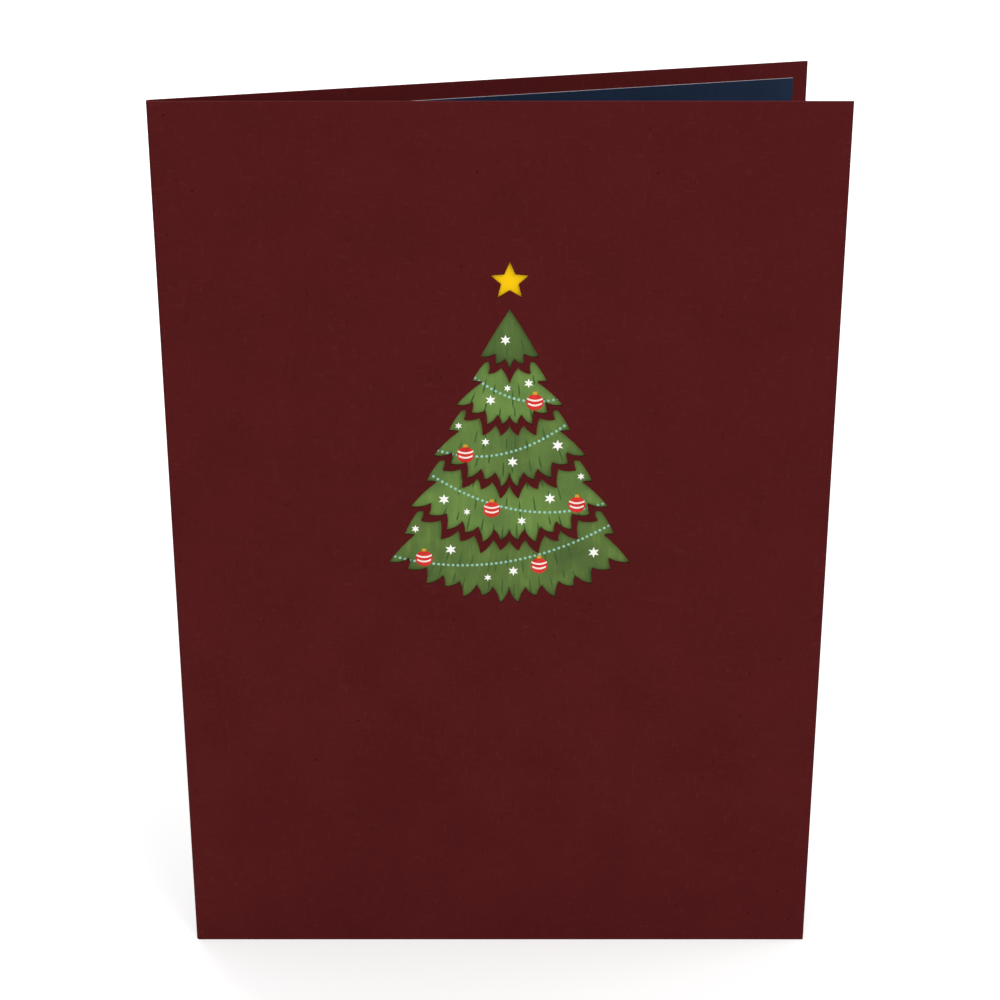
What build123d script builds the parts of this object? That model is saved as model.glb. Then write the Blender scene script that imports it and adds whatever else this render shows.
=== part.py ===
from build123d import *
from math import asin, cos, degrees, hypot, pi, radians, sin, sqrt, tan
import os

# A folded greeting card that stands ajar, with a tree cut through its front
# cover and an interlocking paper tree folded between its pages.
# Lengths are in millimetres and angles in degrees. +Z runs up the spine, +X from
# the spine to the fore edges, and the front cover faces -Y. The origin is the
# middle of the card's footprint.

# Cover
page_width = 127.0
page_height = 177.8
opening_angle = 14.75
cover_thickness = 0.45
cover_fold_radius = 0.3
glue_line = 0.05

# Liner, one folded sheet glued inside the cover
liner_thickness = 0.35
liner_fold_radius = 0.15
liner_margin = 3.0

# Windows cut through the front cover: a tree in tiers with a star above it
tree_place_share = 0.5147
tree_foot_share = 0.4391
window_tree_height = 60.6
window_tree_width = 47.0
window_bridge = 1.2
longest_mitre_share = 1.9
# Tiers from the top down, in shares of the whole tree's width and height
tier_width_shares = (0.235, 0.43, 0.62, 0.81, 1.0)
tier_tip_shares = (0.845, 0.685, 0.515, 0.34, 0.145)
tier_sag_shares = (0.05, 0.08, 0.11, 0.135, 0.145)
tier_shoulder_share = 0.5
tier_teeth = (4, 7, 9, 11, 13)
# Form of a hem's tooth, in shares of its width
tooth_depth_share = 0.95
tooth_fade_share = 0.4
tooth_short_share = 0.3
tooth_lean_share = 0.7
tooth_bulge_share = 0.1
tooth_hollow_share = 0.06
# Tooth in each side of a tier, and how far the side's edges bow
side_tooth_share = 0.45
side_tooth_depth = 1.9
side_tooth_drop = 0.1
side_bows = (0.18, -0.12, 0.25)
peak_bow = 0.12
window_star_radius = 3.85
window_star_gap = 1.5
star_waist_share = 0.45

# Printed sheet glued behind the windows
print_thickness = 0.2
print_border = 6.0

# Pop-up tree of two families of slices, slotted into each other
slices_each_side = 2
slice_pitch = 10.0
slice_thickness = 0.25
crimp_slip = 0.075
slot_play = 0.1
slot_mouth = 1.0
branch_gap = 1.0
fore_edge_clearance = 12.0
# Radii of the tree's tiers in slice pitches, from the lowest tier up
branch_tip_shares = (3.6, 2.9, 2.08, 1.34, 0.75)
branch_root_shares = (3.15, 2.49, 1.7, 0.75, 0.35)
# Heights of the tips above the tree's foot, as shares of its height
branch_height_shares = (0.11, 0.277, 0.443, 0.61, 0.777)
branch_droop = 2.2
branch_teeth = 2
branch_valley_share = 0.6
branch_cut_share = 0.5
roof_steps = 4

# Star glued to the pop-up tree's tip
star_radius = 7.0
star_thickness = 0.4
star_drop = 1.0

# Tabs that hold the pop-up tree to the pages
tab_depth = 6.0
tab_length = 6.0
tab_corner = 1.5
tab_clearance = 0.075

cut_overrun = 1.0

# Directions of the two covers, seen from above
half_opening = radians(opening_angle / 2)
front_run = Vector(cos(half_opening), -sin(half_opening), 0)
back_run = Vector(cos(half_opening), sin(half_opening), 0)
front_out = Vector(-sin(half_opening), -cos(half_opening), 0)
back_out = Vector(-sin(half_opening), cos(half_opening), 0)
spine_way = Vector(-1, 0, 0)
up = Vector(0, 0, 1)

# Cover's fold, placed so that the footprint is centred on the origin
cover_outer_radius = cover_fold_radius + cover_thickness
cover_leg = page_width - cover_outer_radius
fore_edge_x = cover_leg * cos(half_opening) - cover_fold_radius * sin(half_opening)
cover_fold = Vector((cover_outer_radius - fore_edge_x) / 2, 0, 0)


def nested_fold(front_distance, back_distance, radius):
    """Centre of a fold that touches two faces this far out from the cover's fold."""
    forward = (2 * radius - front_distance - back_distance) / (2 * sin(half_opening))
    sideways = (back_distance - front_distance) / (2 * cos(half_opening))
    return cover_fold + Vector(forward, sideways, 0)


# Liner's fold, which sits a little inside the cover's
liner_front_distance = cover_fold_radius - 2 * glue_line - print_thickness
liner_back_distance = cover_fold_radius - glue_line
liner_outer_radius = liner_fold_radius + liner_thickness
liner_fold = nested_fold(liner_front_distance, liner_back_distance, liner_outer_radius)

# Line on which the two pages would meet, and the pop-up tree's place between them
front_page_distance = liner_front_distance - liner_thickness
back_page_distance = liner_back_distance - liner_thickness
page_apex = nested_fold(front_page_distance, back_page_distance, 0)
foot_radius = 2 * slices_each_side * slice_pitch * sin(radians(45))
tree_base = page_apex + Vector(foot_radius * cos(half_opening), 0, page_height / 2)
slice_angle = asin(sin(half_opening) * sin(radians(45)))
shut_apex = cover_outer_radius + liner_thickness
star_top = star_radius - star_drop
tree_height = page_width - shut_apex - foot_radius - star_top - fore_edge_clearance
branch_tip_radii = [share * slice_pitch for share in branch_tip_shares]
branch_root_radii = [share * slice_pitch for share in branch_root_shares]
branch_heights = [share * tree_height for share in branch_height_shares]
crimp_offset = slice_thickness / 2 + crimp_slip
slot_half_width = crimp_offset + slice_thickness / 2 + slot_play / 2

# Place of the cut-out tree's foot on the front cover
tree_from_spine = page_width * tree_place_share
tree_foot_height = page_height * tree_foot_share

# Outer face of the front cover: x from the spine's edge, y up from the bottom edge
front_face = Plane(
    origin=cover_fold + front_out * cover_outer_radius - front_run * cover_outer_radius,
    x_dir=front_run,
    z_dir=front_out,
)


def folded_sheet(fold, fold_radius, thickness, front_leg, back_leg, height):
    """A sheet bent round an upright fold, with a flat leg on each side."""
    outer_radius = fold_radius + thickness
    outer_front = fold + front_out * outer_radius
    inner_front = fold + front_out * fold_radius
    outer_back = fold + back_out * outer_radius
    inner_back = fold + back_out * fold_radius
    edges = [
        Line(outer_front, outer_front + front_run * front_leg),
        Line(outer_front + front_run * front_leg, inner_front + front_run * front_leg),
        Line(inner_front + front_run * front_leg, inner_front),
        ThreePointArc(inner_front, fold + spine_way * fold_radius, inner_back),
        Line(inner_back, inner_back + back_run * back_leg),
        Line(inner_back + back_run * back_leg, outer_back + back_run * back_leg),
        Line(outer_back + back_run * back_leg, outer_back),
        ThreePointArc(outer_back, fold + spine_way * outer_radius, outer_front),
    ]
    return extrude(Face(Wire(edges)), amount=height, dir=up)


def star_points(radius):
    """Corners of a five-pointed star, the first straight up."""
    corners = []
    for corner in range(10):
        reach = radius if corner % 2 == 0 else radius * star_waist_share
        angle = corner * pi / 5
        corners.append((-reach * sin(angle), reach * cos(angle)))
    return corners


def moved_aside(points, distance, facing):
    """A line of points moved this far to one side, with mitred corners."""
    normals = [facing.cross(end - start).normalized() for start, end in zip(points, points[1:])]
    moved = []
    for point, before, after in zip(points, [normals[0], *normals], [*normals, normals[-1]]):
        mitre = (before + after) / (1 + before.dot(after))
        moved.append(point + mitre * distance * min(1, longest_mitre_share / mitre.length))
    return moved


def hem_corners(tier):
    """Corners of one tier's lower edge, left to right: tips and valleys on a sagging curve."""
    half_width = window_tree_width * tier_width_shares[tier] / 2
    sag = window_tree_height * tier_sag_shares[tier]
    tooth = 2 * half_width / tier_teeth[tier]
    half_steps = 2 * tier_teeth[tier]
    corners = []
    for half_step in range(half_steps + 1):
        across = -half_width + half_step * tooth / 2
        outward = across / half_width
        hang = window_tree_height * tier_tip_shares[tier] - sag * (1 - outward ** 2)
        if half_step % 2:
            across -= tooth * tooth_lean_share * outward
            hang += tooth * tooth_depth_share * (1 - tooth_fade_share * abs(outward))
        elif min(half_step, half_steps - half_step) % 4:
            hang += tooth * tooth_short_share
        corners.append(Vector(across, hang))
    return corners


def hem_bows(tier):
    """How far each edge of a hem bows: full on a tooth's inner edge, hollow on its outer one."""
    tooth = window_tree_width * tier_width_shares[tier] / tier_teeth[tier]
    left_tooth = [tooth_bulge_share * -tooth, tooth_hollow_share * tooth]
    bows = []
    for edge in range(2 * tier_teeth[tier]):
        on_right = edge >= tier_teeth[tier]
        bows.append(left_tooth[(edge + on_right) % 2])
    return bows


def bowed_line(points, bows):
    """Arcs from point to point, or straight edges where the bow is nothing."""
    edges = []
    for start, end, bow in zip(points, points[1:], bows):
        edges.append(SagittaArc(start, end, bow) if bow else Line(start, end))
    return edges


def side_corners(shoulder, tip):
    """Right side of a tier, from its shoulder down to its outer tip, broken by one tooth."""
    side_tip = shoulder + (tip - shoulder) * side_tooth_share
    return [shoulder, side_tip, side_tip - Vector(side_tooth_depth, side_tooth_drop), tip]


def tier_window(tier):
    """Cut-out of one tier, a bridge of card below the hem of the tier above."""
    hem, bows = hem_corners(tier), hem_bows(tier)
    roof, roof_bows = [Vector(0, window_tree_height)], []
    if tier:
        roof = moved_aside(hem_corners(tier - 1), window_bridge, -up)
        roof_bows = [0, *hem_bows(tier - 1)[1:-1], 0]
        roof[0] = roof[1] + (roof[0] - roof[1]) * tier_shoulder_share
        roof[-1] = roof[-2] + (roof[-1] - roof[-2]) * tier_shoulder_share
    right = side_corners(roof[-1], hem[-1]) if tier else [roof[-1], hem[-1]]
    right_bows = side_bows if tier else [peak_bow]
    left = [Vector(-corner.X, corner.Y) for corner in reversed(right)]
    edges = [
        *bowed_line(roof, roof_bows),
        *bowed_line(right, right_bows),
        *bowed_line(hem, bows),
        *bowed_line(left, right_bows[::-1]),
    ]
    return Face(Wire(edges))


def tree_windows():
    """Faces of the cut-out tiers and star, in the cover's plane, about the tree's axis and foot."""
    windows = [tier_window(tier) for tier in range(len(tier_teeth))]
    star_height = window_tree_height + window_star_gap + window_star_radius
    corners = [Vector(x, star_height + y) for x, y in star_points(window_star_radius)]
    return [*windows, Face(Wire.make_polygon(corners))]


def make_cover():
    """Outer card, folded at the spine, with the tree and star cut through its front."""
    radius, thickness = cover_fold_radius, cover_thickness
    cover = folded_sheet(cover_fold, radius, thickness, cover_leg, cover_leg, page_height)
    place = front_face.location * Pos(tree_from_spine, tree_foot_height)
    for window in tree_windows():
        cover -= extrude(place * window, amount=cover_thickness + cut_overrun, both=True)
    return cover


def make_tree_print():
    """Printed sheet behind the windows, with a border to glue it by."""
    width = window_tree_width + 2 * print_border
    height = window_tree_height + window_star_gap + 2 * window_star_radius + 2 * print_border
    behind_cover = front_face.offset(-(cover_thickness + glue_line))
    place = behind_cover.location * Pos(tree_from_spine, tree_foot_height - print_border + height / 2)
    return extrude(place * Rectangle(width, height).face(), amount=-print_thickness)


def make_liner():
    """Folded sheet glued inside the cover, set back from its open edges by the margin."""
    inset = liner_fold - cover_fold
    front_leg = cover_leg - liner_margin - inset.dot(front_run)
    back_leg = cover_leg - liner_margin - inset.dot(back_run)
    height = page_height - 2 * liner_margin
    sheet = folded_sheet(liner_fold, liner_fold_radius, liner_thickness, front_leg, back_leg, height)
    return Pos(0, 0, liner_margin) * sheet


# The pop-up tree is made about its own foot: x up the tree, away from the spine,
# y from page to page, z along the spine. A slice is cut from the round, tiered
# form of the tree at a number of pitches from its axis.


def reach_at(radius, offset):
    """Half the width of a circle of this radius, cut this far from its centre."""
    return sqrt(max(radius ** 2 - offset ** 2, 0))


def roof_height(tier, radius):
    """Height of a tier's upper edge at this distance from the tree's axis."""
    inner_radius, inner_height = 0, tree_height
    if tier + 1 < len(branch_heights):
        inner_radius = branch_root_radii[tier + 1]
        inner_height = branch_heights[tier + 1] + branch_droop
    share = (radius - inner_radius) / (branch_tip_radii[tier] - inner_radius)
    return inner_height + (branch_heights[tier] - inner_height) * share


def hem_height(tier, radius):
    """Height of a tier's underside at this distance from the tree's axis."""
    root_radius, tip_radius = branch_root_radii[tier], branch_tip_radii[tier]
    return branch_heights[tier] + branch_droop * (tip_radius - radius) / (tip_radius - root_radius)


def slice_tiers(offset):
    """Reaches of the root, tip and roof's inner end of each tier that a slice has, lowest first."""
    tiers = []
    for tier, tip_radius in enumerate(branch_tip_radii):
        root_radius = branch_root_radii[tier]
        if tier and root_radius <= offset:
            break
        root = reach_at(root_radius, offset)
        tip = reach_at(tip_radius, offset)
        for step in range(1, slices_each_side + 1):
            crossing = step * slice_pitch
            # A branch that would meet its like on the slice it crosses is cut short of it
            if tier and root < crossing < tip and root_radius > crossing:
                tip = crossing - branch_gap
        next_radius = branch_root_radii[tier + 1] if tier + 1 < len(branch_root_radii) else 0
        tiers.append((root, tip, reach_at(max(next_radius, offset), offset)))
    return tiers


def slice_outline(offset):
    """One half of a slice's outline as (reach, height) points, from its foot up to its apex."""
    points = [(reach_at(foot_radius, offset), 0)]
    steps = roof_steps if offset else 1
    for tier, (root, tip, inner) in enumerate(slice_tiers(offset)):
        if not tier:
            points.append((root, hem_height(tier, branch_root_radii[tier])))
        tip_height = hem_height(tier, hypot(tip, offset))
        root_height = hem_height(tier, branch_root_radii[tier])
        for tooth in reversed(range(branch_teeth)):
            for share, cut in ((tooth + branch_valley_share, branch_cut_share), (tooth, 0)):
                inward = share / branch_teeth
                reach = tip + (root - tip) * inward
                height = tip_height + (root_height - tip_height) * inward
                thickness = roof_height(tier, hypot(reach, offset)) - height
                points.append((reach, height + thickness * cut))
        blunt = tip < reach_at(branch_tip_radii[tier], offset)
        for step in range(0 if blunt else 1, steps + 1):
            reach = tip + (inner - tip) * step / steps
            points.append((reach, roof_height(tier, hypot(reach, offset))))
    return points


def column_top(offset, reach):
    """Height of a slice at this reach from its middle, under any branch that overhangs it."""
    for tier, (_, tip, inner) in enumerate(slice_tiers(offset)):
        if inner <= reach <= tip:
            return roof_height(tier, hypot(reach, offset))
    return None


def ribbon(points, thickness):
    """Face of a line across the tree's axis, given a thickness."""
    left, right = [moved_aside(points, side * thickness / 2, Vector(1, 0, 0)) for side in (-1, 1)]
    return Face(Wire.make_polygon([*left, *reversed(right)]))


def crossing_point(step, other):
    """Where the slice at this step of the rising family crosses a slice of the other family."""
    return Vector(
        0,
        (other - step) * slice_pitch * sin(slice_angle),
        (other + step) * slice_pitch * cos(slice_angle),
    )


def slice_path(step):
    """Line of a rising slice seen up the tree's axis, crimped where it passes through the others."""
    run_out = crimp_offset / tan(slice_angle)
    crimp = [(-crimp_offset, -run_out), (-crimp_offset, -crimp_offset),
             (crimp_offset, crimp_offset), (crimp_offset, run_out)]
    points = []
    for other in range(-slices_each_side, slices_each_side + 1):
        crossing = crossing_point(step, other)
        points += [crossing + Vector(0, y, z) for y, z in crimp]
    far = Vector(0, sin(slice_angle), cos(slice_angle)) * (2 * branch_tip_radii[0])
    middle = crossing_point(step, 0)
    return [middle - far, *points, middle + far]


def between_pages():
    """The wedge that the pop-up tree has to itself, a glue line clear of each page."""
    near = -cut_overrun
    far = tree_height + star_top + cut_overrun
    corners = []
    for x, side in ((near, -1), (far, -1), (far, 1), (near, 1)):
        gap = (x + foot_radius * cos(half_opening)) * tan(half_opening) - glue_line / cos(half_opening)
        corners.append(Vector(x, side * gap, -page_height / 2))
    return extrude(Face(Wire.make_polygon(corners)), amount=page_height, dir=up)


def slice_blank(step):
    """A rising slice before its slots are cut."""
    section = Pos(-cut_overrun, 0, 0) * ribbon(slice_path(step), slice_thickness)
    sheet = extrude(section, amount=tree_height + 2 * cut_overrun, dir=(1, 0, 0))
    half = slice_outline(abs(step) * slice_pitch)
    ring = half + [(-reach, height) for reach, height in reversed(half[:-1])]
    middle = step * slice_pitch * cos(slice_angle)
    corners = [Vector(height, 0, middle + reach * cos(slice_angle)) for reach, height in ring]
    outline = extrude(Face(Wire.make_polygon(corners)), amount=page_width, dir=(0, 1, 0), both=True)
    return sheet & outline & between_pages()


def slot(step, other, low, high):
    """Block that cuts one slot of a rising slice, from one height to another."""
    width = 2 * slot_half_width
    block = Box(high - low, width, width, align=(Align.MIN, Align.CENTER, Align.CENTER))
    return Pos(crossing_point(step, other) + Vector(low, 0, 0)) * block


def make_slice(step, from_top):
    """A rising slice, slotted half-way from its top or from its base at each crossing."""
    blank = slice_blank(step)
    for other in range(-slices_each_side, slices_each_side + 1):
        offset, reach = abs(step) * slice_pitch, abs(other) * slice_pitch
        tops = (column_top(offset, reach), column_top(reach, offset))
        if None in tops:
            continue
        meeting = min(tops) / 2
        if from_top:
            blank -= slot(step, other, meeting - slot_play / 2, tops[0] + slot_mouth)
        else:
            blank -= slot(step, other, -cut_overrun, meeting + slot_play / 2)
    if step == 0:
        blank -= star_seat()
    if abs(step) == slices_each_side:
        blank += glue_tab(step)
    return blank


def star_seat():
    """Clears the tree's tip on the side where the star lies against it."""
    low = tree_height - star_drop - star_radius
    high = tree_height + cut_overrun
    seat = Box(high - low, star_thickness, 2 * star_radius, align=(Align.MIN, Align.MIN, Align.CENTER))
    return Pos(low, crimp_offset + slice_thickness / 2, 0) * seat


def glue_tab(step):
    """Tab at the foot of an outermost slice, flat on the page that its last crossing meets."""
    page = Plane(
        origin=(0, foot_radius * sin(half_opening), 0),
        x_dir=back_run,
        z_dir=-back_out,
    )
    start = slot_half_width + tab_clearance
    corners = [
        (slice_thickness, -start),
        (-tab_depth, -start),
        (-tab_depth, tab_corner - start - tab_length),
        (tab_corner - tab_depth, -start - tab_length),
        (slice_thickness, -start - tab_length),
    ]
    plate = Face(Wire.make_polygon([Vector(x, y) for x, y in corners]))
    tab = extrude(page.offset(glue_line).location * plate, amount=slice_thickness)
    return tab if step < 0 else tab.rotate(Axis.X, 180)


def make_slices(from_top):
    """One family of slices in the card; the one slotted from its base mirrors the other."""
    for step in range(-slices_each_side, slices_each_side + 1):
        piece = make_slice(step, from_top)
        if not from_top:
            piece = mirror(piece, about=Plane.XZ)
        yield Pos(tree_base) * piece


def make_star_topper():
    """Star glued flat against the tree's tip, its first point away from the spine."""
    seat = crimp_offset + slice_thickness / 2 + glue_line
    centre = tree_height - star_drop
    corners = [Vector(centre + y, seat, x) for x, y in star_points(star_radius)]
    star = extrude(Face(Wire.make_polygon(corners)), amount=star_thickness, dir=(0, 1, 0))
    return Pos(tree_base) * star


def main():
    os.makedirs("parts", exist_ok=True)
    parts = {
        "cover": make_cover(),
        "tree_print": make_tree_print(),
        "liner": make_liner(),
        "star_topper": make_star_topper(),
    }
    for number, piece in enumerate(make_slices(True), 1):
        parts[f"top_slotted_slice_{number}"] = piece
    for number, piece in enumerate(make_slices(False), 1):
        parts[f"base_slotted_slice_{number}"] = piece
    for name, piece in parts.items():
        export_step(piece, f"parts/{name}.step")
    slope = degrees(slice_angle)
    print(f"{len(parts)} parts, pop-up tree {tree_height:.2f} tall, slices at {slope:.2f} degrees")


main()
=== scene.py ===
import bmesh
import bpy
from math import cos, pi, radians, sin, sqrt
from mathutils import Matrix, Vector
from random import Random


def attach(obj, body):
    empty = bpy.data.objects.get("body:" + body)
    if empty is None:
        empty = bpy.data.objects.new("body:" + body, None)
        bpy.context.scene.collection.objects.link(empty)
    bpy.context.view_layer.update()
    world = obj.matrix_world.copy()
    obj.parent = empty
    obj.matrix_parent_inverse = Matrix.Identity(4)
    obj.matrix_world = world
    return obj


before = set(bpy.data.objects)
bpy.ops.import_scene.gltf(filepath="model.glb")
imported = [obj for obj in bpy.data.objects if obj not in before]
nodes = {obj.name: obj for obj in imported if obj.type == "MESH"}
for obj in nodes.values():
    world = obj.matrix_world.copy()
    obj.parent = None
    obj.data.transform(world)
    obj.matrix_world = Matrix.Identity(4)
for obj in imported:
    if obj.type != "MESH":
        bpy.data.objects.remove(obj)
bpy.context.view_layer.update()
mm = 0.001
print("frame loaded:", len(nodes), "nodes")

card = {  # the folded card, in mm and degrees
    "pageWidth": 127.0,
    "pageHeight": 177.8,
    "openingAngle": 14.75,
    "thickness": 0.45,
    "foldRadius": 0.3,
    "glueLine": 0.05,
}

# Directions of the covers, seen from above, and the middle of the fold between them
halfOpening = radians(card["openingAngle"] / 2)
frontRun = Vector((cos(halfOpening), -sin(halfOpening), 0))
frontOut = Vector((-sin(halfOpening), -cos(halfOpening), 0))
backOut = Vector((-sin(halfOpening), cos(halfOpening), 0))
up = Vector((0, 0, 1))
outerRadius = card["foldRadius"] + card["thickness"]
coverLeg = card["pageWidth"] - outerRadius
foreEdge = coverLeg * cos(halfOpening) - card["foldRadius"] * sin(halfOpening)
coverFold = Vector(((outerRadius - foreEdge) / 2, 0, 0))
frontCorner = coverFold + (frontOut - frontRun) * outerRadius  # its spine edge, on the table


def onFront(along, height, out):  # mm along the front cover, up it and out from it
    return (frontCorner + frontRun * along + up * height + frontOut * out) * mm


def linearColour(hexCode):  # sRGB to linear
    channels = [int(hexCode[i:i + 2], 16) / 255 for i in (1, 3, 5)]
    linear = [c / 12.92 if c <= 0.04045 else ((c + 0.055) / 1.055) ** 2.4 for c in channels]
    return (*linear, 1.0)


# A setting is a socket, by its name or number, or else one of the node's own properties
def addNode(tree, kind, settings=None, links=None):
    node = tree.nodes.new(kind)
    for name, value in (settings or {}).items():
        if isinstance(name, int) or name in node.inputs:
            node.inputs[name].default_value = value
        else:
            setattr(node, name, value)
    for name, source in (links or {}).items():
        tree.links.new(source, node.inputs[name])
    return node


def newMaterial(name):
    material = bpy.data.materials.new(name)
    material.use_nodes = True
    material.node_tree.nodes.clear()
    return material, material.node_tree


# Camera

camera = {  # where the picture is taken from, in mm and degrees
    "alongCover": 63.55,
    "inFront": 405.66,
    "height": 273.78,
    "lookDown": 23.17,
    "lens": 82.567,
    "sensor": 36.0,
    "nearest": 10.0,
}


def makeCamera():
    data = bpy.data.cameras.new("camera")
    data.lens = camera["lens"]
    data.sensor_width = camera["sensor"]
    data.clip_start = camera["nearest"] * mm
    body = bpy.data.objects.new("camera", data)
    bpy.context.scene.collection.objects.link(body)
    body.location = onFront(camera["alongCover"], camera["height"], camera["inFront"])
    tilt = radians(camera["lookDown"])
    forward = -frontOut * cos(tilt) - up * sin(tilt)
    body.rotation_euler = forward.to_track_quat("-Z", "Y").to_euler()
    bpy.context.scene.camera = body


makeCamera()
print("camera placed")


# Studio

studio = {
    "floorSize": 8.0,  # m
    "floorColour": "#f4f4f4",
    "floorGlow": (0.3, 0.62),  # white added to the floor that is seen, by the card and far off
    "glowReach": (0.15, 1.0),  # m from the card
    "skyColour": "#ffffff",
    "skyLevel": 0.54,  # light from all round
    "lampTarget": (0, 0, 90),  # mm
    "lamps": [  # place in mm, size in mm, watts
        ("keyLamp", (600, -860, 1120), 900, 9.0),
        ("fillLamp", (-700, -860, 720), 800, 1.8),
        ("backLamp", (-150, 820, 760), 700, 3.8),
        ("sideLamp", (900, 0, 330), 500, 2.4),
    ],
}


def raysThatSee(tree):  # 1 for rays from the camera, or by way of gloss or glass
    path = addNode(tree, "ShaderNodeLightPath").outputs
    links = {0: path["Is Camera Ray"], 1: path["Is Glossy Ray"]}
    seen = addNode(tree, "ShaderNodeMath", {"operation": "ADD"}, links).outputs[0]
    links = {0: seen, 1: path["Is Transmission Ray"]}
    settings = {"operation": "ADD", "use_clamp": True}
    return addNode(tree, "ShaderNodeMath", settings, links).outputs[0]


def makeFloor():
    size = studio["floorSize"] / 2
    corners = [(-size, -size, 0), (size, -size, 0), (size, size, 0), (-size, size, 0)]
    mesh = bpy.data.meshes.new("floor")
    mesh.from_pydata(corners, [], [(0, 1, 2, 3)])
    floor = bpy.data.objects.new("floor", mesh)
    bpy.context.scene.collection.objects.link(floor)
    material, tree = newMaterial("matteStudioBoard")
    place = addNode(tree, "ShaderNodeTexCoord").outputs["Object"]
    length = {"operation": "LENGTH"}
    distance = addNode(tree, "ShaderNodeVectorMath", length, {0: place}).outputs["Value"]
    near, far = studio["glowReach"]
    low, high = studio["floorGlow"]
    spread = {"From Min": near, "From Max": far, "To Min": low, "To Max": high}
    glow = addNode(tree, "ShaderNodeMapRange", spread, {"Value": distance}).outputs[0]
    links = {0: raysThatSee(tree), 1: glow}
    strength = addNode(tree, "ShaderNodeMath", {"operation": "MULTIPLY"}, links).outputs[0]
    board = addNode(tree, "ShaderNodeBsdfDiffuse", {"Color": linearColour(studio["floorColour"])})
    white = {"Color": linearColour(studio["skyColour"])}
    lift = addNode(tree, "ShaderNodeEmission", white, {"Strength": strength})
    both = addNode(tree, "ShaderNodeAddShader", {}, {0: board.outputs[0], 1: lift.outputs[0]})
    addNode(tree, "ShaderNodeOutputMaterial", {}, {"Surface": both.outputs[0]})
    mesh.materials.append(material)


def makeSky():
    world = bpy.data.worlds.new("studioSky")
    bpy.context.scene.world = world
    world.use_nodes = True
    tree = world.node_tree
    tree.nodes.clear()
    dim = {"To Min": studio["skyLevel"]}
    level = addNode(tree, "ShaderNodeMapRange", dim, {"Value": raysThatSee(tree)}).outputs[0]
    white = {"Color": linearColour(studio["skyColour"])}
    sky = addNode(tree, "ShaderNodeBackground", white, {"Strength": level})
    addNode(tree, "ShaderNodeOutputWorld", {}, {"Surface": sky.outputs[0]})


def makeLamps():
    target = Vector(studio["lampTarget"]) * mm
    for name, place, size, power in studio["lamps"]:
        data = bpy.data.lights.new(name, "AREA")
        data.shape = "SQUARE"
        data.size = size * mm
        data.energy = power
        lamp = bpy.data.objects.new(name, data)
        bpy.context.scene.collection.objects.link(lamp)
        lamp.location = Vector(place) * mm
        lamp.rotation_euler = (target - lamp.location).to_track_quat("-Z", "Y").to_euler()


makeFloor()
makeSky()
makeLamps()
bpy.context.scene.view_settings.view_transform = "Standard"
print("studio lit")


# Papers

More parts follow.
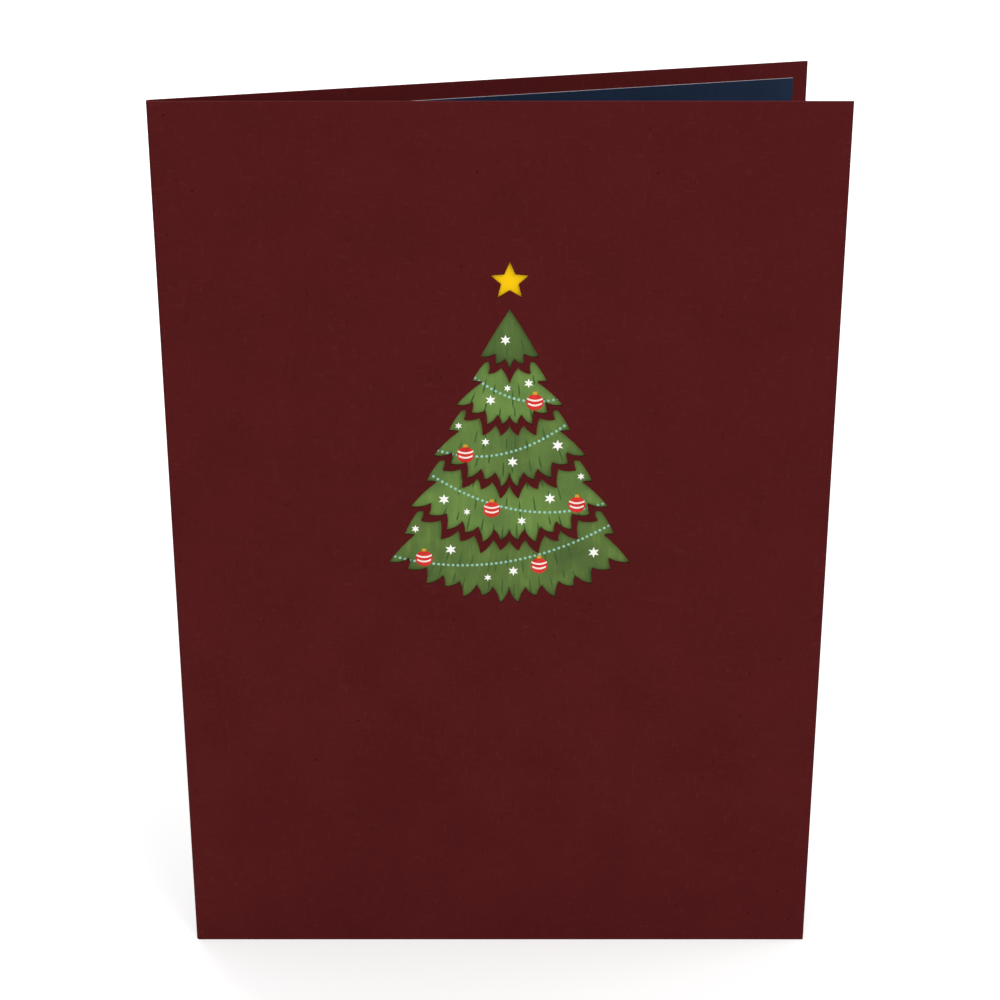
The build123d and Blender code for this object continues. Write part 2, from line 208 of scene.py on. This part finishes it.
# Colours: the sheet, its soft clouds, painted highlight on its raised marks, painted shade in the
# hollows between, its pulp specks.
# In mm: width of a felt mark, size of a cloud, spacing and size of the specks, depth of relief.
# As shares: a mark's length over its width, and how strongly marks and clouds show.
papers = {
    # Card dyed in the pulp and pressed on a felt: matte, short crossing marks, a few dark specks
    "dyedFeltMarkedCard": {
        "colour": "#521617", "cloudy": "#4e1415", "pale": "#612526",
        "hollow": "#420e0f", "speck": "#3c0d0f",
        "mark": 0.5, "run": 4.0, "marks": 0.5, "cloud": 13.0, "clouds": 0.8,
        "spacing": 5.6, "size": 0.3, "relief": 0.015, "roughness": 0.85, "gloss": 0.07,
    },
    # The same card where the guillotine went through: torn fibre ends, a little paler
    "guillotinedCardEdge": {
        "colour": "#5f2224", "cloudy": "#531b1d", "pale": "#77383a",
        "hollow": "#401113", "speck": "#2b0709",
        "mark": 0.12, "run": 6.0, "marks": 0.8, "cloud": 3.0, "clouds": 0.8,
        "spacing": 5.5, "size": 0.2, "relief": 0.04, "roughness": 0.95, "gloss": 0.05,
    },
    # The same card where the laser went through: scorched a little browner, and smooth
    "laserCutCardEdge": {
        "colour": "#481915", "cloudy": "#3d1411", "pale": "#58231e",
        "hollow": "#2f0f0c", "speck": "#1c0705",
        "mark": 0.2, "run": 1.0, "marks": 0.5, "cloud": 2.0, "clouds": 0.8,
        "spacing": 3.0, "size": 0.15, "relief": 0.01, "roughness": 0.75, "gloss": 0.15,
    },
    # White cartridge paper flooded with navy ink: even and close, with a slight bloom
    "navyFloodedPaper": {
        "colour": "#17273e", "cloudy": "#142237", "pale": "#20324d",
        "hollow": "#0f1a2b", "speck": "#0b131f",
        "mark": 0.3, "run": 4.0, "marks": 0.4, "cloud": 9.0, "clouds": 0.8,
        "spacing": 7.0, "size": 0.22, "relief": 0.02, "roughness": 0.75, "gloss": 0.1,
    },
    # Its cut edge, where the white pulp shows between the two inked faces
    "whitePulpEdge": {
        "colour": "#cac3ca", "cloudy": "#b8b0b9", "pale": "#e0dadf",
        "hollow": "#9c95a0", "speck": "#77717d",
        "mark": 0.1, "run": 8.0, "marks": 0.7, "cloud": 2.5, "clouds": 0.8,
        "spacing": 2.5, "size": 0.12, "relief": 0.03, "roughness": 0.95, "gloss": 0.1,
    },
    # Smooth offset paper under the printed picture
    "offsetPaper": {
        "colour": "#ece9e1", "cloudy": "#e6e2d9", "pale": "#f5f3ee",
        "hollow": "#dbd7cd", "speck": "#c3beb2",
        "mark": 0.25, "run": 2.0, "marks": 0.4, "cloud": 6.0, "clouds": 0.6,
        "spacing": 6.0, "size": 0.15, "relief": 0.01, "roughness": 0.7, "gloss": 0.25,
    },
    # Leaf-green card of the pop-up tree, dyed through: matte, with a close felt
    "greenPopUpCard": {
        "colour": "#5c7a38", "cloudy": "#527033", "pale": "#759350",
        "hollow": "#44602a", "speck": "#2f441d",
        "mark": 0.3, "run": 3.5, "marks": 0.7, "cloud": 5.0, "clouds": 0.9,
        "spacing": 3.5, "size": 0.22, "relief": 0.025, "roughness": 0.8, "gloss": 0.15,
    },
    # Its laser-cut outline: a thin olive-brown scorch
    "laserCutGreenEdge": {
        "colour": "#48541f", "cloudy": "#394118", "pale": "#5b6829",
        "hollow": "#2a3012", "speck": "#1d200c",
        "mark": 0.2, "run": 1.0, "marks": 0.5, "cloud": 2.0, "clouds": 0.8,
        "spacing": 3.0, "size": 0.15, "relief": 0.01, "roughness": 0.8, "gloss": 0.12,
    },
    # Yellow card of the star, dyed through: matte and warm, with faint marks
    "yellowStarCard": {
        "colour": "#f7c312", "cloudy": "#ecb60e", "pale": "#fdd548",
        "hollow": "#dfa70a", "speck": "#b98507",
        "mark": 0.28, "run": 3.0, "marks": 0.6, "cloud": 3.0, "clouds": 0.8,
        "spacing": 4.0, "size": 0.18, "relief": 0.02, "roughness": 0.75, "gloss": 0.2,
    },
}

paperGrain = {  # how noise is cut into marks, clouds and specks, the same for every paper
    "highlightFrom": (0.61, 0.82),
    "hollowFrom": (0.38, 0.2),
    "cloudFrom": (0.35, 0.65),
    "softness": 0.35,  # share of a speck's size over which it fades
    "tuft": 0.22,  # mm, real fibres are about 0.03 mm wide, too fine to show
    "markDetail": 2.0,
    "cloudDetail": 3.0,
    "tuftDetail": 3.0,
    "bump": 0.5,
    "roughnessPlay": 0.05,
    "ior": 1.5,  # of cellulose
}

asItIs = (1, 1, 1)  # grain that isn't drawn out any way


# Blotches of a width in mm, drawn out this many times along x, y and z
def drawnGrain(tree, place, width, runs, detail):
    settings = {"Scale": [1 / run for run in runs]}
    drawn = addNode(tree, "ShaderNodeMapping", settings, {"Vector": place}).outputs[0]
    settings = {"Scale": 1 / (width * mm), "Detail": detail}
    return addNode(tree, "ShaderNodeTexNoise", settings, {"Vector": drawn}).outputs[0]


# A layer is a colour, its pattern, the values it fades in between, and the share it covers
def layColours(tree, sheet, layers):
    under = None
    for hexCode, pattern, (start, end), share in layers:
        limits = {"From Min": start, "From Max": end, "To Max": share}
        amount = addNode(tree, "ShaderNodeMapRange", limits, {"Value": pattern}).outputs[0]
        paint = {"data_type": "RGBA", 6: linearColour(sheet), 7: linearColour(hexCode)}
        links = {0: amount, 6: under} if under else {0: amount}
        under = addNode(tree, "ShaderNodeMix", paint, links).outputs[2]
    return under


def makePaper(name):
    look = papers[name]
    material, tree = newMaterial(name)
    place = addNode(tree, "ShaderNodeTexCoord").outputs["Object"]
    level, upright = (look["run"], look["run"], 1), (1, 1, look["run"])
    lying = drawnGrain(tree, place, look["mark"], level, paperGrain["markDetail"])
    standing = drawnGrain(tree, place, look["mark"], upright, paperGrain["markDetail"])
    clouds = drawnGrain(tree, place, look["cloud"], asItIs, paperGrain["cloudDetail"])
    tufts = drawnGrain(tree, place, paperGrain["tuft"], asItIs, paperGrain["tuftDetail"])
    both = {0: lying, 1: standing}
    high = addNode(tree, "ShaderNodeMath", {"operation": "MAXIMUM"}, both).outputs[0]
    low = addNode(tree, "ShaderNodeMath", {"operation": "MINIMUM"}, both).outputs[0]
    cells = {"Scale": 1 / (look["spacing"] * mm)}
    nearest = addNode(tree, "ShaderNodeTexVoronoi", cells, {"Vector": place}).outputs["Distance"]
    rim = look["size"] / look["spacing"]  # of a speck, in the cells' own measure
    # The pale colour on the raised marks is a painted highlight and the darker colour between them
    # is painted shade; the same marks give the real relief of the bump
    colour = layColours(tree, look["colour"], [
        (look["cloudy"], clouds, paperGrain["cloudFrom"], look["clouds"]),
        (look["pale"], high, paperGrain["highlightFrom"], look["marks"]),
        (look["hollow"], low, paperGrain["hollowFrom"], look["marks"]),
        (look["speck"], nearest, (rim, rim * (1 - paperGrain["softness"])), 1.0),
    ])
    relief = addNode(tree, "ShaderNodeMath", {"operation": "ADD"}, {0: tufts, 1: high}).outputs[0]
    depth = {"Strength": paperGrain["bump"], "Distance": look["relief"] * mm}
    bump = addNode(tree, "ShaderNodeBump", depth, {"Height": relief}).outputs[0]
    play = paperGrain["roughnessPlay"]
    limits = {"To Min": look["roughness"] - play, "To Max": look["roughness"] + play}
    rough = addNode(tree, "ShaderNodeMapRange", limits, {"Value": clouds}).outputs[0]
    shader = addNode(
        tree, "ShaderNodeBsdfPrincipled",
        {"IOR": paperGrain["ior"], "Specular IOR Level": look["gloss"]},
        {"Base Color": colour, "Roughness": rough, "Normal": bump},
    )
    addNode(tree, "ShaderNodeOutputMaterial", {}, {"Surface": shader.outputs[0]})
    return material


paperMaterials = {name: makePaper(name) for name in papers}
print("papers made:", len(paperMaterials))


# Folded sheets and slices: each face gets the finish of how it was made

windows = {  # part of the front cover that the laser cut, in mm along it and up it
    "along": (38.0, 92.0),
    "height": (72.0, 155.0),
}

facing = {  # how squarely a face looks a way before it counts as facing it
    "sheet": 0.9,
    "edge": 0.5,
    "slice": 0.35,
}


def dress(name, finishes, pick):  # pick gives a face's finish, by its middle in mm and its normal
    mesh = nodes[name].data
    mesh.materials.clear()
    for finish in finishes:
        mesh.materials.append(paperMaterials[finish])
    for face in mesh.polygons:
        face.material_index = pick(Vector(face.center) / mm, Vector(face.normal))


def acrossSheet(normal):  # 1 on the flat of a cover, 0 on its edges
    return max(abs(normal.dot(frontOut)), abs(normal.dot(backOut)))


def coverFinish(middle, normal):
    atFold = middle.x < coverFold.x + card["foldRadius"] and abs(normal.z) < facing["edge"]
    if acrossSheet(normal) > facing["sheet"] or atFold:
        return 0
    along = (middle - frontCorner).dot(frontRun)
    left, right = windows["along"]
    low, high = windows["height"]
    return 2 if left < along < right and low < middle.z < high else 1


def linerFinish(middle, normal):
    atForeEdge = middle.x > 0 and acrossSheet(normal) < facing["edge"]
    return 1 if abs(normal.z) > facing["edge"] or atForeEdge else 0


def flatPieceFinish(middle, normal):
    return 0 if abs(normal.y) > facing["slice"] else 1


def onePaper(middle, normal):
    return 0


coverPapers = ["dyedFeltMarkedCard", "guillotinedCardEdge", "laserCutCardEdge"]
dress("cover", coverPapers, coverFinish)
dress("liner", ["navyFloodedPaper", "whitePulpEdge"], linerFinish)
dress("tree_print", ["offsetPaper"], onePaper)
dress("star_topper", ["yellowStarCard", "laserCutCardEdge"], flatPieceFinish)
for name in nodes:
    if "slotted_slice" in name:
        dress(name, ["greenPopUpCard", "laserCutGreenEdge"], flatPieceFinish)
print("sheets dressed")


# Printed picture behind the windows

cutTree = {  # the cut-out tree, in mm, its place and its tiers in shares of the card and of itself
    "placeShare": 0.5147,
    "footShare": 0.4391,
    "height": 60.6,
    "width": 47.0,
    "bridge": 1.2,
    "longestMitre": 1.9,
    "widthShares": (0.235, 0.43, 0.62, 0.81, 1.0),  # from the top tier down
    "tipShares": (0.845, 0.685, 0.515, 0.34, 0.145),
    "sagShares": (0.05, 0.08, 0.11, 0.135, 0.145),
    "teeth": (4, 7, 9, 11, 13),
    "toothDepth": 0.95,
    "toothFade": 0.4,
    "toothShort": 0.3,
    "toothLean": 0.7,
    "starGap": 1.5,
    "starRadius": 3.85,
}

printLayers = {  # height of each layer of ink over the paper, in mm, all inside the glue line
    "field": (0.0, 0.010),
    "needles": (0.010, 0.014),
    "beads": (0.014, 0.019),
    "flakes": (0.019, 0.024),
    "baubles": (0.024, 0.030),
    "bands": (0.030, 0.035),
}


def onPrint(across, height, lift):  # mm from the tree's axis and foot, and out from the paper
    axis = card["pageWidth"] * cutTree["placeShare"]
    foot = card["pageHeight"] * cutTree["footShare"]
    behind = card["thickness"] + card["glueLine"]
    return onFront(axis + across, foot + height, lift - behind)


def halfWidth(tier):
    return cutTree["width"] * cutTree["widthShares"][tier] / 2


def hemAt(tier, across):  # height of a tier's hem at its tips
    outward = across / halfWidth(tier)
    sag = cutTree["sagShares"][tier] * max(0, 1 - outward ** 2)
    return cutTree["height"] * (cutTree["tipShares"][tier] - sag)


def hemLine(tier, drop):  # the jagged hem of a tier, moved down by drop and mitred
    half = halfWidth(tier)
    halfSteps = 2 * cutTree["teeth"][tier]
    tooth = 4 * half / halfSteps
    corners = []
    for halfStep in range(halfSteps + 1):
        across = -half + halfStep * tooth / 2
        hang = hemAt(tier, across)
        outward = across / half
        if halfStep % 2:
            across -= tooth * cutTree["toothLean"] * outward
            hang += tooth * cutTree["toothDepth"] * (1 - cutTree["toothFade"] * abs(outward))
        elif min(halfStep, halfSteps - halfStep) % 4:
            hang += tooth * cutTree["toothShort"]
        corners.append(Vector((across, hang)))
    normals = []
    for start, end in zip(corners, corners[1:]):
        run = (end - start).normalized()
        normals.append(Vector((run.y, -run.x)))
    moved = []
    for corner, before, after in zip(corners, [normals[0], *normals], [*normals, normals[-1]]):
        mitre = (before + after) / (1 + before.dot(after))
        moved.append(corner + mitre * drop * min(1, cutTree["longestMitre"] / mitre.length))
    return moved


def addInk(mesh, outline, layer, finish=0):  # a flat shape of ink with a thin edge
    low, high = printLayers[layer]
    back = [mesh.verts.new(onPrint(x, y, low)) for x, y in outline]
    front = [mesh.verts.new(onPrint(x, y, high)) for x, y in outline]
    faces = [mesh.faces.new(front), mesh.faces.new(back[::-1])]
    for i in range(len(outline)):
        j = (i + 1) % len(outline)
        faces.append(mesh.faces.new((back[i], back[j], front[j], front[i])))
    for face in faces:
        face.material_index = finish


def finishInk(name, mesh, inkNames):
    data = bpy.data.meshes.new(name)
    bmesh.ops.recalc_face_normals(mesh, faces=mesh.faces)
    mesh.to_mesh(data)
    mesh.free()
    for inkName in inkNames:
        data.materials.append(inkMaterials[inkName])
    piece = bpy.data.objects.new(name, data)
    bpy.context.scene.collection.objects.link(piece)
    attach(piece, "root")


# In mm: width of a brush mark and size of a wash. As a share: a mark's length over its width.
inks = {
    # Offset leaf greens of the five tiers, from the top down: satin, with the lighter brush marks
    # and deeper washes of a painted original
    "tierInk1": {
        "colour": "#526b33", "light": "#617b3c", "deep": "#465c2d",
        "brush": 0.9, "run": 6.0, "wash": 7.0,
    },
    "tierInk2": {
        "colour": "#6b8b43", "light": "#7b9b50", "deep": "#5b793b",
        "brush": 1.0, "run": 6.0, "wash": 8.0,
    },
    "tierInk3": {
        "colour": "#607c3c", "light": "#718f48", "deep": "#4b6232",
        "brush": 1.1, "run": 6.0, "wash": 9.0,
    },
    "tierInk4": {
        "colour": "#678640", "light": "#78974c", "deep": "#546f38",
        "brush": 1.1, "run": 6.0, "wash": 9.0,
    },
    "tierInk5": {
        "colour": "#5a7337", "light": "#6e8b44", "deep": "#465b2e",
        "brush": 1.1, "run": 6.0, "wash": 9.0,
    },
    # Solid warm yellow of the star: nearly even
    "starInk": {
        "colour": "#ffcb00", "light": "#ffd208", "deep": "#ffc500",
        "brush": 2.5, "run": 1.0, "wash": 5.0,
    },
    # Dark green of the needle strokes, printed over the greens
    "needleInk": {
        "colour": "#3f612d", "light": "#486b31", "deep": "#355224",
        "brush": 0.8, "run": 2.0, "wash": 3.0,
    },
    # Opaque white of the snow crystals: clean, a touch warm
    "flakeInk": {
        "colour": "#fffef6", "light": "#ffffff", "deep": "#f8f6ea",
        "brush": 0.8, "run": 1.0, "wash": 3.0,
    },
    # Pale sea green of the beads
    "beadInk": {
        "colour": "#98ccba", "light": "#b2dccc", "deep": "#84b9a5",
        "brush": 0.6, "run": 1.0, "wash": 3.0,
    },
    # Warm red of the baubles, washed darker in places
    "baubleInk": {
        "colour": "#d9322b", "light": "#e64537", "deep": "#bd2823",
        "brush": 1.0, "run": 1.5, "wash": 2.5,
    },
    # Cream of their bands
    "bandInk": {
        "colour": "#fdebe2", "light": "#fff8f3", "deep": "#f3ddd2",
        "brush": 0.8, "run": 1.0, "wash": 3.0,
    },
    # Ochre of their caps
    "capInk": {
        "colour": "#d9a12f", "light": "#e8b64f", "deep": "#bf8a26",
        "brush": 0.5, "run": 1.0, "wash": 2.0,
    },
}

inkGrain = {  # how noise is cut into brush marks, washes and grain, the same for every ink
    "lightFrom": (0.5, 0.74),
    "lightShare": 0.75,
    "deepFrom": (0.44, 0.7),
    "deepShare": 0.9,
    "grain": 0.2,  # mm, the real screen of dots is about 0.1 mm, too fine to show
    "grainFrom": (0.45, 0.75),
    "grainShare": 0.35,
    "brushDetail": 3.0,
    "washDetail": 2.0,
    "grainDetail": 2.0,
    "bump": 0.3,
    "depth": 0.01,  # mm
    "roughness": (0.52, 0.66),
    "gloss": 0.12,
    "ior": 1.5,  # of dried ink
}


def makeInk(name):
    look = inks[name]
    material, tree = newMaterial(name)
    place = addNode(tree, "ShaderNodeTexCoord").outputs["Object"]
    upright = (1, 1, look["run"])
    brush = drawnGrain(tree, place, look["brush"], upright, inkGrain["brushDetail"])
    wash = drawnGrain(tree, place, look["wash"], asItIs, inkGrain["washDetail"])
    grain = drawnGrain(tree, place, inkGrain["grain"], asItIs, inkGrain["grainDetail"])
    colour = layColours(tree, look["colour"], [
        (look["light"], brush, inkGrain["lightFrom"], inkGrain["lightShare"]),
        (look["deep"], wash, inkGrain["deepFrom"], inkGrain["deepShare"]),
        (look["light"], grain, inkGrain["grainFrom"], inkGrain["grainShare"]),
    ])
    depth = {"Strength": inkGrain["bump"], "Distance": inkGrain["depth"] * mm}
    bump = addNode(tree, "ShaderNodeBump", depth, {"Height": grain}).outputs[0]
    smooth, coarse = inkGrain["roughness"]
    limits = {"To Min": smooth, "To Max": coarse}
    rough = addNode(tree, "ShaderNodeMapRange", limits, {"Value": grain}).outputs[0]
    shader = addNode(
        tree, "ShaderNodeBsdfPrincipled",
        {"IOR": inkGrain["ior"], "Specular IOR Level": inkGrain["gloss"]},
        {"Base Color": colour, "Roughness": rough, "Normal": bump},
    )
    addNode(tree, "ShaderNodeOutputMaterial", {}, {"Surface": shader.outputs[0]})
    return material


inkMaterials = {name: makeInk(name) for name in inks}
print("inks made:", len(inkMaterials))

printedFields = {  # how far the fields of colour run on behind the card, in mm
    "sideBleed": 1.5,
    "topBleed": 0.4,
    "starBleed": 0.75,
    "starSides": 40,
}


def printTiers():
    for tier in range(len(cutTree["teeth"])):
        reach = halfWidth(tier) + printedFields["sideBleed"]
        hem = hemLine(tier, cutTree["bridge"] / 2)
        if tier:
            roof = hemLine(tier - 1, cutTree["bridge"] / 2)
            roof = [Vector((-reach, roof[0].y)), *roof, Vector((reach, roof[-1].y))]
        else:
            top = cutTree["height"] + printedFields["topBleed"]
            roof = [Vector((-reach, top)), Vector((reach, top))]
        left, right = Vector((-reach, hem[0].y)), Vector((reach, hem[-1].y))
        mesh = bmesh.new()
        addInk(mesh, [left, *hem, right, *reversed(roof)], "field")
        finishInk(f"printedTier{tier + 1}", mesh, [f"tierInk{tier + 1}"])


def ringPoints(centre, radius, count):
    points = []
    for i in range(count):
        angle = 2 * pi * i / count
        points.append((centre[0] + radius * cos(angle), centre[1] + radius * sin(angle)))
    return points


def printStar():
    centre = (0, cutTree["height"] + cutTree["starGap"] + cutTree["starRadius"])
    radius = cutTree["starRadius"] + printedFields["starBleed"]
    mesh = bmesh.new()
    addInk(mesh, ringPoints(centre, radius, printedFields["starSides"]), "field")
    finishInk("printedStar", mesh, ["starInk"])


needles = {  # short brush strokes in loose rows, in mm and degrees
    "spacing": 2.3,
    "length": (2.1, 4.4),
    "width": 0.34,
    "lean": 30.0,  # at the tree's side
    # How far down each tier its rows lie, as shares of its depth there
    "rows": ((0.5,), (0.25, 0.62), (0.15, 0.5, 0.8), (0.2, 0.62), (0.2, 0.6)),
    "topReach": 0.45,  # share of a tier's half width that a row at its top covers
    "reachGain": 0.4,  # and how much more one at its hem does
    "fewest": 2,
    "stray": 0.3,  # sideways, as a share of the spacing
    "play": 0.9,  # up or down
    "seed": 12,
    "shape": ((0.3, 0.8), (0.75, 1.0)),  # shares of its length, and its width there
}


def needleOutline(start, lean, length):
    down = Vector((sin(lean), -cos(lean)))
    side = Vector((cos(lean), sin(lean))) * needles["width"] / 2
    left = [start + down * length * share - side * width for share, width in needles["shape"]]
    right = [start + down * length * share + side * width for share, width in needles["shape"]]
    return [start, *left, start + down * length, *reversed(right)]


def printNeedles():
    chance = Random(needles["seed"])
    stray, play = needles["stray"], needles["play"]
    mesh = bmesh.new()
    for tier, rows in enumerate(needles["rows"]):
        half = halfWidth(tier)
        for row in rows:
            reach = half * (needles["topReach"] + needles["reachGain"] * row)
            count = max(needles["fewest"], round(2 * reach / needles["spacing"]))
            for i in range(count):
                across = -reach + 2 * reach * (i + 0.5 + chance.uniform(-stray, stray)) / count
                roof = hemAt(tier - 1, across) if tier else cutTree["height"]
                height = roof + (hemAt(tier, across) - roof) * row + chance.uniform(-play, play)
                length = chance.uniform(*needles["length"])
                lean = radians(needles["lean"]) * across / half
                addInk(mesh, needleOutline(Vector((across, height)), lean, length), "needles")
    finishInk("printedNeedles", mesh, ["needleInk"])


flakes = {  # snow crystals: across, up and radius, in mm
    "arms": 6,
    "waist": 0.46,
    "places": [
        (-0.8, 54.4, 1.05),
        (-3.6, 42.4, 1.05), (-0.4, 44.8, 0.75), (3.6, 45.8, 0.95),
        (-9.7, 37.2, 0.75), (-4.6, 33.9, 0.85), (0.6, 29.8, 1.1), (9.2, 33.2, 1.2),
        (-12.6, 22.0, 1.15), (-8.2, 19.4, 0.75), (2.4, 17.5, 0.95),
        (7.8, 22.2, 1.15), (13.7, 26.8, 0.8),
        (-18.2, 15.8, 0.85), (-11.4, 11.4, 1.15), (-4.2, 5.4, 0.8),
        (0.8, 6.8, 1.05), (16.4, 10.8, 1.15),
    ],
}


def printFlakes():
    corners = 2 * flakes["arms"]
    mesh = bmesh.new()
    for across, height, radius in flakes["places"]:
        outline = []
        for i in range(corners):
            reach = radius * (flakes["waist"] if i % 2 else 1)
            angle = pi / 2 + 2 * pi * i / corners
            outline.append((across + reach * cos(angle), height + reach * sin(angle)))
        addInk(mesh, outline, "flakes")
    finishInk("printedFlakes", mesh, ["flakeInk"])


garlands = {  # strings of small beads: left end, right end and how far each sags, in mm
    "pitch": 0.92,
    "beadRadius": 0.28,
    "beadSides": 10,
    "steps": 400,
    "strings": [
        ((-6.5, 46.9), (9.2, 42.7), 2.2),
        ((-13.7, 32.2), (11.4, 38.0), 3.6),
        ((-15.4, 27.4), (18.0, 21.1), 4.4),
        ((-22.2, 9.9), (19.4, 16.6), 4.6),
    ],
}


def printGarlands():
    mesh = bmesh.new()
    for left, right, sag in garlands["strings"]:
        walked = garlands["pitch"]
        last = Vector(left)
        for i in range(garlands["steps"] + 1):
            share = i / garlands["steps"]
            drop = Vector((0, 4 * sag * share * (1 - share)))  # sag in mid-string, 0 at its ends
            spot = Vector(left).lerp(Vector(right), share) - drop
            walked += (spot - last).length
            last = spot
            if walked >= garlands["pitch"]:
                bead = ringPoints(spot, garlands["beadRadius"], garlands["beadSides"])
                addInk(mesh, bead, "beads")
                walked = 0
    finishInk("printedGarlands", mesh, ["beadInk"])


baubles = {  # round baubles with two pale bands and a cap, in mm
    "radius": 1.65,
    "sides": 32,
    "capWidth": 0.9,
    "capHeight": 0.6,
    "capSunk": 0.12,
    "capTaper": 0.8,
    "bandHeights": (-0.62, 0.34),
    "bandWidth": 0.36,
    "bandSag": 0.42,
    "bandSteps": 12,
    "places": [(4.8, 42.0), (-8.4, 31.3), (-3.4, 19.9), (13.0, 20.9), (-16.6, 9.5), (5.8, 8.0)],
}


def bandOutline(centre, middle):  # one pale band, bowed as if it ran round the bauble
    width, sag = baubles["bandWidth"], baubles["bandSag"]
    reach = sqrt(baubles["radius"] ** 2 - (abs(middle) + width) ** 2)
    lower, upper = [], []
    for i in range(baubles["bandSteps"] + 1):
        share = 2 * i / baubles["bandSteps"] - 1
        x, y = centre[0] + reach * share, centre[1] + middle + sag * (share ** 2 - 0.5)
        lower.append((x, y))
        upper.append((x, y + width))
    return lower + upper[::-1]


def capOutline(centre):
    half, low = baubles["capWidth"] / 2, centre[1] + baubles["radius"] - baubles["capSunk"]
    narrow, top = half * baubles["capTaper"], low + baubles["capHeight"]
    foot = [(centre[0] - half, low), (centre[0] + half, low)]
    return foot + [(centre[0] + narrow, top), (centre[0] - narrow, top)]


def printBaubles():
    ball, band, cap = range(3)  # their finishes, in the order of the inks below
    mesh = bmesh.new()
    for centre in baubles["places"]:
        ring = ringPoints(centre, baubles["radius"], baubles["sides"])
        addInk(mesh, ring, "baubles", ball)
        for middle in baubles["bandHeights"]:
            addInk(mesh, bandOutline(centre, middle), "bands", band)
        addInk(mesh, capOutline(centre), "bands", cap)
    finishInk("printedBaubles", mesh, ["baubleInk", "bandInk", "capInk"])


printTiers()
printStar()
printNeedles()
printFlakes()
printGarlands()
printBaubles()
print("picture printed")
